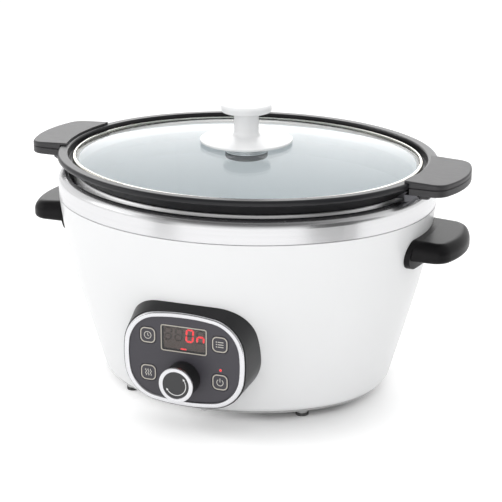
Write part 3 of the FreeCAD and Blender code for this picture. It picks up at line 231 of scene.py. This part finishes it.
def lens(name, color, surround, node, radius, strength, span=4.0, lit_to=0.8, dark_from=1.2):
    """A small lamp whose lit middle sits in a dark surround, with its colours spread over a few radii."""
    look = plastic(name, color, 0.4)
    low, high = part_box(node)
    front_middle = ((low.x + high.x) / 2, low.y, (low.z + high.z) / 2)
    reach = look.math("VectorMath", "DISTANCE", look.place(), front_middle)
    share = look.math("Math", "DIVIDE", reach, span * radius * MM)
    shade = look.ramp(share, ((lit_to / span, color), (dark_from / span, surround)))
    look.drive("Base Color", shade)
    look.drive("Emission Color", shade)
    look.set("Emission Strength", strength)
    return look


def clear(name, color, roughness, spread, ior, haze=18, cloud=80):
    """Glass with faint unevenness in its polish."""
    look = Look(name, color, roughness, transmission_weight=1.0, ior=ior)
    look.rough(look.noise(haze), roughness, roughness + 0.015)
    return look.color(look.noise(cloud), *shades(color, spread))


WHITE = enamel("white_enamel", (0.86, 0.865, 0.87), 0.32, coat_weight=0.25, coat_roughness=0.12)
COLLAR = metal("satin_collar", (0.70, 0.70, 0.71), 0.24, (40, 40, 0.25))
POT_WALL = metal("pot_wall", (0.92, 0.92, 0.92), 0.38, (40, 40, 0.3)).banded(POT_BAND, (0.46, 0.46, 0.47))
POT_COAT = plastic("pot_coat", (0.016, 0.016, 0.018), 0.3, 0.5, 0.004, 0.08, specular_ior_level=0.3)
POT_INSIDE = plastic("pot_inside", (0.80, 0.84, 0.86), 0.4, 1.2, 0.01, 0.02)
LINER = metal("liner_sheet", (0.62, 0.62, 0.62), 0.38, (1, 1, 20))
HEATER = metal("heater_sheet", (0.50, 0.48, 0.46), 0.42)
BASE = metal("base_sheet", (0.50, 0.50, 0.50), 0.42, (30, 0.4, 1))
STEEL = metal("fastener_steel", (0.60, 0.60, 0.60), 0.35, size=0.3)
BRIGHT = metal("rim_steel", (0.82, 0.80, 0.73), 0.14, (40, 40, 0.3))
RING = metal("ring_satin", (0.70, 0.70, 0.72), 0.2, size=0.4)
HANDLE = plastic("handle_black", (0.030, 0.029, 0.031), 0.42, 0.5, 0.012, 0.3, (9, 1, 1))
GRIP = plastic("grip_black", (0.008, 0.0077, 0.0083), 0.34, 0.4, 0.003, 0.1, specular_ior_level=0.14)
POD = plastic("pod_black", (0.015, 0.015, 0.016), 0.34, 0.5, 0.006, 0.1, specular_ior_level=0.35)
PANEL = plastic("panel_grey", (0.051, 0.048, 0.058), 0.45, 0.4, 0.006, 0.05)
KEY = plastic("key_grey", (0.049, 0.046, 0.056), 0.45, 0.4, 0.006, 0.05)
PRINT = plastic("pale_print", (0.50, 0.47, 0.41), 0.5, 0.4, 0.004, 0.05)
ICON = plastic("icon_print", (0.62, 0.60, 0.55), 0.5, 0.4, 0.004, 0.05)
MARK = plastic("dial_mark", (0.80, 0.80, 0.80), 0.5, 0.4, 0.004, 0.04)
DIAL = plastic("dial_black", (0.014, 0.014, 0.015), 0.36, 0.4, 0.01, 0.1, specular_ior_level=0.35)
CAP = plastic("cap_black", (0.035, 0.035, 0.037), 0.4, 0.4, 0.006, 0.06)
WINDOW = clear("window_smoke", (0.55, 0.50, 0.50), 0.03, 0.03, 1.5)
GLASS = clear("lid_glass", (0.945, 0.96, 0.963), 0.0, 0.01, 1.11)
LIT = glow("segment_lit", (1.0, 0.03, 0.04), 1.6)
DIM = plastic("segment_dim", (0.10, 0.085, 0.065), 0.5)
MODULE = plastic("display_olive", (0.24, 0.205, 0.16), 0.5)
LAMP = lens("lamp_red", (0.9, 0.03, 0.03), (0.06, 0.05, 0.06), "indicator_light", LAMP_RADIUS, 0.7)
KNOB = plastic("knob_white", (0.84, 0.845, 0.85), 0.3, 1.5, 0.002, 0.006, coat_weight=0.2)
SEAL = plastic("seal_dark", (0.10, 0.105, 0.11), 0.4, 0.4, 0.01, 0.04)
WASHER = metal("washer_steel", (0.85, 0.85, 0.85), 0.2, size=0.4)
# Painted shade: the pot's brackets get a dark grey that stands in for the shadow and dark reflection under
# the pot's rim at the right
BRACKET_PAINTED_SHADE = metal("bracket_painted_shade", (0.13, 0.13, 0.14), 0.38, size=0.4)
RUBBER = plastic("foot_rubber", (0.05, 0.05, 0.05), 0.7, 0.6, 0.03, 0.15)
BLANKET = plastic("blanket_wool", (0.78, 0.75, 0.68), 0.9, 1.5, 0.4, 0.12)
BOARD = plastic("board_green", (0.05, 0.20, 0.09), 0.4, 2.0, 0.02, 0.15)
BLACK = plastic("part_black", (0.05, 0.05, 0.055), 0.45, 0.5, 0.01, 0.1)
BLUE = plastic("relay_blue", (0.06, 0.11, 0.32), 0.4, 0.5, 0.01, 0.06)

LOOKS = {
    WHITE: ["outer_shell"],
    COLLAR: ["rim_collar"],
    LINER: ["well_liner", "liner_post"],
    HEATER: ["heater_band", "temperature_sensor", "thermal_fuse"],
    BLANKET: ["insulation_blanket"],
    BASE: ["base_cover"],
    RUBBER: ["feet"],
    STEEL: ["base_screws", "tie_bolt", "side_handle_screws", "pod_screws", "pot_handle_screws", "knob_screw",
            "encoder_shaft"],
    BRACKET_PAINTED_SHADE: ["pot_bracket_right", "pot_bracket_left"],
    GRIP: ["side_handle_right", "side_handle_left"],
    HANDLE: ["pot_handle_upper_right", "pot_handle_upper_left", "pot_handle_lower_right",
             "pot_handle_lower_left"],
    POD: ["control_pod"],
    RING: ["panel_ring", "dial_ring"],
    PANEL: ["panel_face"],
    KEY: ["key_timer", "key_mode", "key_warm", "key_power"],
    WINDOW: ["display_window"],
    MODULE: ["display_module"],
    BOARD: ["control_board", "power_board"],
    BLACK: ["key_switches", "encoder_body", "cord_gland", "filter_capacitor", "terminal_block"],
    BLUE: ["power_relay"],
    LAMP: ["indicator_light"],
    DIAL: ["dial_knob"],
    CAP: ["dial_cap"],
    BRIGHT: ["lid_rim"],
    GLASS: ["lid_glass"],
    KNOB: ["knob_base", "knob_top"],
    SEAL: ["knob_seal"],
    WASHER: ["knob_washer"],
}


def dress_nodes():
    for look, names in LOOKS.items():
        for name in names:
            nodes[name].data.materials.clear()
            nodes[name].data.materials.append(look.material)


def dress_pot():
    """Satin metal outside with a bright neck, a dark coat on the rim and a pale one inside."""
    wall_slot, coat_slot, inside_slot = range(3)
    mesh = nodes["cooking_pot"].data
    mesh.materials.clear()
    for look in (POT_WALL, POT_COAT, POT_INSIDE):
        mesh.materials.append(look.material)
    coat_from = POT_SEAT - 0.3
    for face in mesh.polygons:
        middle, normal = face.center, face.normal
        outward = normal.x * middle.x + normal.y * middle.y > 0
        underside = normal.z < -0.5
        height = middle.z / MM
        if height > coat_from or outward and height > POT_NECK:
            face.material_index = coat_slot
        else:
            face.material_index = wall_slot if outward or underside else inside_slot


# Ways to make pieces

def new_piece(name, bm, look, body):
    mesh = bpy.data.meshes.new(name)
    bmesh.ops.recalc_face_normals(bm, faces=bm.faces)
    bm.to_mesh(mesh)
    bm.free()
    piece = bpy.data.objects.new(name, mesh)
    bpy.context.scene.collection.objects.link(piece)
    mesh.materials.append(look.material)
    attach(piece, body)
    return piece


def smooth(piece, angle):
    """Smooth shading across edges that turn by less than the angle."""
    for face in piece.data.polygons:
        face.use_smooth = True
    piece.data.set_sharp_from_angle(angle=math.radians(angle))


def soft_loop(x, z, half_width, half_height, radius, steps=8):
    """Points of a rectangle with rounded corners."""
    points = []
    for turn, (sx, sz) in enumerate(((1, 1), (-1, 1), (-1, -1), (1, -1))):
        for step in range(steps + 1):
            angle = math.radians(90 * (turn + step / steps))
            points.append((x + sx * (half_width - radius) + radius * math.cos(angle),
                           z + sz * (half_height - radius) + radius * math.sin(angle)))
    return points


def arc(x, z, radius, start, end, steps=40):
    """Points along an arc, with angles in degrees from the right, anticlockwise."""
    angles = [math.radians(start + (end - start) * i / steps) for i in range(steps + 1)]
    return [(x + radius * math.cos(a), z + radius * math.sin(a)) for a in angles]


def circle(x, z, radius, steps=40):
    return arc(x, z, radius, 0, 360, steps)[:-1]


def wall(bm, left, right, y, height, closed):
    """A raised band between two lines of points."""
    rows = [[bm.verts.new((px * MM, py * MM, pz * MM)) for px, pz in line]
            for line, py in ((left, y), (left, y - height), (right, y - height), (right, y))]
    count = len(left)
    last = count if closed else count - 1
    for i in range(last):
        j = (i + 1) % count
        for a, b in zip(rows, rows[1:] + rows[:1]):
            bm.faces.new((a[i], a[j], b[j], b[i]))
    if not closed:
        bm.faces.new([row[0] for row in rows])
        bm.faces.new([row[-1] for row in rows])


def stroke(bm, points, width, y, closed=False):
    """A printed line of even width."""
    left, right = [], []
    count = len(points)
    for i, (x, z) in enumerate(points):
        before = points[i - 1] if i or closed else points[i]
        after = points[(i + 1) % count] if i < count - 1 or closed else points[i]
        way = Vector((after[0] - before[0], after[1] - before[1])).normalized() * width / 2
        left.append((x - way.y, z + way.x))
        right.append((x + way.y, z - way.x))
    wall(bm, left, right, y, PRINT_HEIGHT, closed)


def tablet(bm, points, y, height=PRINT_HEIGHT):
    """A flat raised patch inside a loop of points."""
    back = [bm.verts.new((x * MM, y * MM, z * MM)) for x, z in points]
    face = [bm.verts.new((x * MM, (y - height) * MM, z * MM)) for x, z in points]
    count = len(points)
    bm.faces.new(back)
    bm.faces.new(face)
    for i in range(count):
        j = (i + 1) % count
        bm.faces.new((back[i], back[j], face[j], face[i]))


def eased(corners, steps=8):
    """A profile with its corners rounded, each corner given with its radius."""
    points = []
    for i, (x, z, radius) in enumerate(corners):
        here = Vector((x, z))
        if not radius:
            points.append(here)
            continue
        ways = [(Vector(corners[j][:2]) - here).normalized() for j in (i - 1, i + 1)]
        half = ways[0].angle(ways[1]) / 2
        middle = here + (ways[0] + ways[1]).normalized() * radius / math.sin(half)
        start, end = [here + way * radius / math.tan(half) - middle for way in ways]
        points += [middle + start.lerp(end, step / steps).normalized() * radius for step in range(steps + 1)]
    return points


def lathe(bm, profile, steps=128, closed=False):
    """A profile of radius and height turned about the upright axis."""
    on_axis = 1e-6
    rings = []
    for radius, z in profile:
        count = steps if radius > on_axis else 1
        turns = [2 * math.pi * k / steps for k in range(count)]
        ring = [(radius * math.cos(a) * MM, radius * math.sin(a) * MM, z * MM) for a in turns]
        rings.append([bm.verts.new(point) for point in ring])
    for low, high in zip(rings, rings[1:] + rings[:1] if closed else rings[1:]):
        for k in range(steps):
            j = (k + 1) % steps
            corners = [low[k % len(low)], low[j % len(low)], high[j % len(high)], high[k % len(high)]]
            loop = list(dict.fromkeys(corners))
            if len(loop) > 2:
                bm.faces.new(loop)


# The knob's foot, and the cap over its screw that shows through the glass
# Each corner of a profile is a radius, a height and its rounding

FLANGE_RADIUS = 36.2
NECK_RADIUS = 9.6
FOOT_LOW = 192.7
FOOT_HIGH = 214
KNOB_FOOT = (
    (0, FOOT_LOW, 0),
    (FLANGE_RADIUS, FOOT_LOW, 0.6),
    (FLANGE_RADIUS, FOOT_LOW + 1.9, 0.9),
    (NECK_RADIUS, FOOT_LOW + 4.5, 3.2),
    (NECK_RADIUS, FOOT_HIGH, 0),
    (0, FOOT_HIGH, 0),
)
CAP_RADIUS = 16.6
CAP_BORE = 11
CAP_LOW = 178.6
CAP_HIGH = 183.3
CAP_FLOOR = 180.2
SCREW_CAP = (
    (CAP_BORE, CAP_HIGH, 0),
    (CAP_RADIUS, CAP_HIGH, 0.5),
    (CAP_RADIUS, CAP_LOW, 1.6),
    (0, CAP_LOW, 0),
    (0, CAP_FLOOR, 0),
    (CAP_BORE, CAP_FLOOR, 0),
)
BEAD_RADIUS = 0.6
BEAD_REACH = 16.2
BEAD_HEIGHTS = (186.3, 185.1, 183.9)
BEAD_STEPS = 12


def knob_foot():
    bm = bmesh.new()
    lathe(bm, eased(KNOB_FOOT))
    piece = new_piece("knob_foot", bm, KNOB, "lid")
    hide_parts("knob_base")
    smooth(piece, angle=40)


def screw_cap():
    bm = bmesh.new()
    lathe(bm, eased(SCREW_CAP), closed=True)
    smooth(new_piece("screw_cap", bm, SEAL, "lid"), angle=40)


def cap_rings():
    bm = bmesh.new()
    for height in BEAD_HEIGHTS:
        lathe(bm, circle(BEAD_REACH, height, BEAD_RADIUS, BEAD_STEPS), closed=True)
    smooth(new_piece("cap_rings", bm, WASHER, "lid"), angle=60)


# Printed and lit detail on the panel, drawn in the plane that faces the cook

OUTLINE_INSET = 0.95
OUTLINE_LINE = 0.85
WINDOW_INSET = 0.5
WINDOW_CORNER = 1.6
WINDOW_LINE = 0.8

# A digit's bars, between points counted in half widths and quarter heights from its middle
SEGMENTS = {
    "a": ((-1, 2), (1, 2)), "b": ((1, 2), (1, 0)), "c": ((1, 0), (1, -2)), "d": ((1, -2), (-1, -2)),
    "e": ((-1, -2), (-1, 0)), "f": ((-1, 0), (-1, 2)), "g": ((-1, 0), (1, 0)),
}
DIGIT_HALF_WIDTH = 2.55
DIGIT_QUARTER = 2.3
DIGIT_Z = 77.4
DIGIT_LEAN = 0.07
DIGIT_PLACES = {-12.9: "", -4.3: "", 4.3: "abcdef", 12.9: "ceg"}
BAR_HALF = 0.72
BAR_TIP = 0.22
BAR_SHOULDER = 0.9
BAR_HEIGHT = 0.12
DASH_X = -0.7
DASH_Z = 66.4
DASH_HALF_WIDTH = 2.3
DASH_HALF_HEIGHT = 0.6
DASH_CORNER = 0.5

MARK_RADIUS = 7.9
MARK_START = -146
MARK_END = 34
MARK_LINE = 0.55
ARROW_HALF = 0.95
ARROW_LENGTH = 1.7


def key_outlines():
    half = KEY_HALF - OUTLINE_INSET
    corner = KEY_CORNER - OUTLINE_INSET
    for name, (x, z) in KEYS.items():
        bm = bmesh.new()
        stroke(bm, soft_loop(x, z, half, half, corner), OUTLINE_LINE, KEY_FRONT, closed=True)
        new_piece("outline_" + name, bm, PRINT, name + "_key")


def window_outline():
    bm = bmesh.new()
    middle = (WINDOW_LOW + WINDOW_HIGH) / 2
    half_height = (WINDOW_HIGH - WINDOW_LOW) / 2 - WINDOW_INSET
    loop = soft_loop(0, middle, WINDOW_HALF_WIDTH - WINDOW_INSET, half_height, WINDOW_CORNER)
    stroke(bm, loop, WINDOW_LINE, WINDOW_FRONT, closed=True)
    new_piece("outline_window", bm, PRINT, "housing")


def digit(lit_bm, dim_bm, x, lit):
    """Seven bars with pointed ends, leaning a little to the right."""
    for name, (start, end) in SEGMENTS.items():
        a = Vector((start[0] * DIGIT_HALF_WIDTH, start[1] * DIGIT_QUARTER))
        b = Vector((end[0] * DIGIT_HALF_WIDTH, end[1] * DIGIT_QUARTER))
        way = (b - a).normalized()
        across = Vector((-way.y, way.x)) * BAR_HALF
        tip = way * BAR_TIP
        body = way * BAR_SHOULDER
        loop = [a + tip, a + body - across, b - body - across, b - tip, b - body + across, a + body + across]
        points = [(x + p.x + p.y * DIGIT_LEAN, DIGIT_Z + p.y) for p in loop]
        tablet(lit_bm if name in lit else dim_bm, points, DISPLAY_FRONT, BAR_HEIGHT)


def display_digits():
    lit, dim = bmesh.new(), bmesh.new()
    for x, bars in DIGIT_PLACES.items():
        digit(lit, dim, x, bars)
    dash = soft_loop(DASH_X, DASH_Z, DASH_HALF_WIDTH, DASH_HALF_HEIGHT, DASH_CORNER, steps=4)
    tablet(lit, dash, DISPLAY_FRONT, BAR_HEIGHT)
    new_piece("digits_lit", lit, LIT, "housing")
    new_piece("digits_dim", dim, DIM, "housing")


def clock_icon(bm, x, z, y):
    """A round face with two hands."""
    radius, line, hand_line = 2.7, 0.5, 0.45
    minute_tip = (x, z + 1.7)
    hour_tip = (x + 1.2, z - 0.7)
    stroke(bm, circle(x, z, radius), line, y, closed=True)
    stroke(bm, [minute_tip, (x, z), hour_tip], hand_line, y)


def power_icon(bm, x, z, y):
    """An open ring with an upright bar in its gap."""
    radius, drop, half_gap, line = 2.5, 0.2, 35, 0.55
    bar_high, bar_low = 3.0, 0.1
    stroke(bm, arc(x, z - drop, radius, 90 + half_gap, 450 - half_gap), line, y)
    stroke(bm, [(x, z + bar_high), (x, z + bar_low)], line, y)


def warm_icon(bm, x, z, y):
    """Three waves that rise side by side."""
    pitch, sway, line = 1.9, 0.5, 0.5
    low, rise, turn, count = -2.6, 0.29, 0.7, 19
    for shift in (-pitch, 0, pitch):
        wave = [(x + shift + sway * math.sin(i * turn), z + low + i * rise) for i in range(count)]
        stroke(bm, wave, line, y)


def mode_icon(bm, x, z, y):
    """A list of three lines, each with its dot."""
    pitch, line, dot_half, dot_corner = 1.9, 0.6, 0.4, 0.15
    dot_x, line_start, line_end = x - 2.6, x - 1.5, x + 2.9
    for row in (z - pitch, z, z + pitch):
        stroke(bm, [(line_start, row), (line_end, row)], line, y)
        tablet(bm, soft_loop(dot_x, row, dot_half, dot_half, dot_corner, steps=3), y)


def key_icons():
    drawings = {"timer": clock_icon, "power": power_icon, "warm": warm_icon, "mode": mode_icon}
    for name, draw in drawings.items():
        bm = bmesh.new()
        draw(bm, *KEYS[name], KEY_FRONT)
        new_piece("icon_" + name, bm, ICON, name + "_key")


def dial_marks():
    """A turning arrow on the cap."""
    bm = bmesh.new()
    stroke(bm, arc(0, DIAL_Z, MARK_RADIUS, MARK_START, MARK_END), MARK_LINE, DIAL_CAP_FRONT)
    for angle, away in ((MARK_END, 1), (MARK_START, -1)):
        turn = math.radians(angle)
        side = Vector((math.cos(turn), math.sin(turn)))
        ahead = Vector((-side.y, side.x)) * away
        middle = side * MARK_RADIUS
        corners = [middle + side * ARROW_HALF, middle + ahead * ARROW_LENGTH, middle - side * ARROW_HALF]
        tablet(bm, [(p.x, DIAL_Z + p.y) for p in corners], DIAL_CAP_FRONT)
    new_piece("dial_marks", bm, MARK, "dial")


# Floor, light and camera, with places and distances in metres

FLOOR_RADIUS = 1.9
FLOOR_STEPS = 96
FLOOR_WHITE = (0.90, 0.90, 0.90)
FLOOR_ROUGHNESS = 0.9
FLOOR_CLOUD = 400
FLOOR_SPREAD = 0.004
# Painted shadow: the floor's added light is least at a point at the cooker's right front, so a shadow is
# painted there;
# from one distance to another from that point, the light that it adds grows from the first level to the
# second
FLOOR_PAINTED_SHADOW = (0.064, -0.056, 0.0)
FLOOR_GLOW_AND_PAINTED_SHADOW = (0.030, 0.090, 0.0, 0.36)

# Brightness of the surroundings by the sine of the height above the horizon
FRONT_SKY = ((0.05, 1.0), (0.2, 0.9), (0.36, 0.5), (0.66, 0.16), (1.0, 0.16))
BACK_SKY = ((0.1, 1.0), (0.4, 0.95), (0.8, 0.6))
# The front turns into the back between two values of a direction's y
SKY_TURN = (-0.5, 0.3)
# A dark screen stands to the right of the cooker, with an edge between two cosines from its middle
SCREEN_WAY = (0.985, -0.174, 0.0)
SCREEN_EDGE = (0.93, 0.985)
SCREEN_LEVEL = 0.2
# Grey boards that show in shiny surfaces alone: the way to each from the cooker in degrees from the right,
# its distance, width and height, and its grey
BOARDS = ((-32, 0.57, 0.28, 0.36, 0.12), (-117, 0.58, 0.12, 0.36, 0.45))

CAMERA_PLACE = (0.43809, -1.16567, 0.51881)
CAMERA_AIM = (0.00333, 0.00124, 0.10178)
CAMERA_LENS = 118.33
CAMERA_SENSOR = 36.0


def grey(level):
    return (level, level, level)


def stage_piece(name, points, look):
    """One flat face of the studio, which isn't part of the cooker."""
    mesh = bpy.data.meshes.new(name)
    mesh.from_pydata(points, [], [range(len(points))])
    mesh.materials.append(look.material)
    piece = bpy.data.objects.new(name, mesh)
    bpy.context.scene.collection.objects.link(piece)
    return piece


def floor():
    """A round white table top that runs out into the white surroundings, with a painted shadow at the
    cooker's right front.
    """
    look = Look("floor_white", FLOOR_WHITE, FLOOR_ROUGHNESS, specular_ior_level=0.0)
    look.color(look.noise(FLOOR_CLOUD), *shades(FLOOR_WHITE, FLOOR_SPREAD))
    rays = look.node("LightPath").outputs
    seen = look.math("Math", "MAXIMUM", rays["Is Camera Ray"], rays["Is Glossy Ray"])
    seen = look.math("Math", "MAXIMUM", seen, rays["Is Transmission Ray"])
    # Painted shadow: the added light grows with the distance from a point at the cooker's right front
    reach = look.math("VectorMath", "DISTANCE", look.place(), FLOOR_PAINTED_SHADOW)
    look.set("Emission Color", (*grey(1.0), 1.0))
    look.drive("Emission Strength", look.math("Math", "MULTIPLY", seen, look.rescaled(reach, *FLOOR_GLOW_AND_PAINTED_SHADOW)))
    stage_piece("floor", [(x, y, 0) for x, y in circle(0, 0, FLOOR_RADIUS, FLOOR_STEPS)], look)


def sky():
    """Pale surroundings: white near the horizon, a darker room in front and overhead."""
    world = bpy.data.worlds.new("studio")
    bpy.context.scene.world = world
    world.use_nodes = True
    graph = Graph(world.node_tree)
    height = graph.axis("Generated", "Z")
    front, back = [graph.ramp(height, [(sine, grey(level)) for sine, level in levels])
                   for levels in (FRONT_SKY, BACK_SKY)]
    room = graph.mix(graph.rescaled(graph.axis("Generated", "Y"), *SKY_TURN), front, back)
    facing = graph.math("VectorMath", "DOT_PRODUCT", graph.place("Generated"), SCREEN_WAY)
    room = graph.mix(graph.rescaled(facing, *SCREEN_EDGE), room, (*grey(SCREEN_LEVEL), 1.0))
    camera_ray = graph.node("LightPath").outputs["Is Camera Ray"]
    shown = graph.mix(camera_ray, room, (*grey(1.0), 1.0))
    graph.link(shown, graph.tree.nodes["Background"].inputs["Color"])


def board(name, turn, reach, width, height, level):
    """An upright board that darkens a stretch of the shine on bright metal."""
    way = Vector((math.cos(math.radians(turn)), math.sin(math.radians(turn)), 0))
    middle = way * reach
    side = Vector((-way.y, way.x, 0)) * width / 2
    up = Vector((0, 0, height))
    look = Look(name, grey(0.0), 1.0, specular_ior_level=0.0)
    look.set("Emission Color", (*grey(level), 1.0))
    look.set("Emission Strength", 1.0)
    corners = [middle - side, middle + side, middle + side + up, middle - side + up]
    piece = stage_piece(name, corners, look)
    piece.visible_camera = False
    piece.visible_diffuse = False
    piece.visible_transmission = False
    piece.visible_shadow = False


def softbox(name, place, aim, width, height, power, kind):
    """A soft lamp that lights the scene, shows in shiny surfaces, or does both."""
    lamp = bpy.data.lights.new(name, "AREA")
    lamp.shape = "RECTANGLE"
    lamp.size = width
    lamp.size_y = height
    lamp.energy = power
    piece = bpy.data.objects.new(name, lamp)
    bpy.context.scene.collection.objects.link(piece)
    set_up(piece, place, aim)
    piece.visible_camera = False
    piece.visible_glossy = kind != "light"
    piece.visible_diffuse = kind != "shine"


def set_up(piece, place, aim):
    """Put a lamp or a camera at a place, looking at another."""
    piece.location = place
    piece.rotation_euler = (Vector(aim) - Vector(place)).to_track_quat("-Z", "Y").to_euler()


def camera():
    data = bpy.data.cameras.new("camera")
    data.lens = CAMERA_LENS
    data.sensor_width = CAMERA_SENSOR
    piece = bpy.data.objects.new("camera", data)
    bpy.context.scene.collection.objects.link(piece)
    set_up(piece, CAMERA_PLACE, CAMERA_AIM)
    bpy.context.scene.camera = piece


dress_nodes()
dress_pot()
knob_foot()
screw_cap()
cap_rings()
key_outlines()
window_outline()
display_digits()
key_icons()
dial_marks()

floor()
sky()
for number, sizes in enumerate(BOARDS, 1):
    board("board_%d" % number, *sizes)
softbox("overhead", (0, -0.2, 2), aim=(0, 0, 0.1), width=3.4, height=3.4, power=31, kind="light")
softbox("front_fill", (0.6, -2.4, 0.8), aim=(0, 0, 0.1), width=2.4, height=1.4, power=16, kind="light")
softbox("left_key", (-1.6, -0.7, 1), aim=(0, 0, 0.12), width=1.2, height=1.2, power=4, kind="both")
softbox("back_card", (-0.7, 1.87, 1.1), aim=(0, 0, 0.15), width=2, height=1.7, power=16, kind="shine")
camera()
bpy.context.scene.view_settings.view_transform = "Standard"
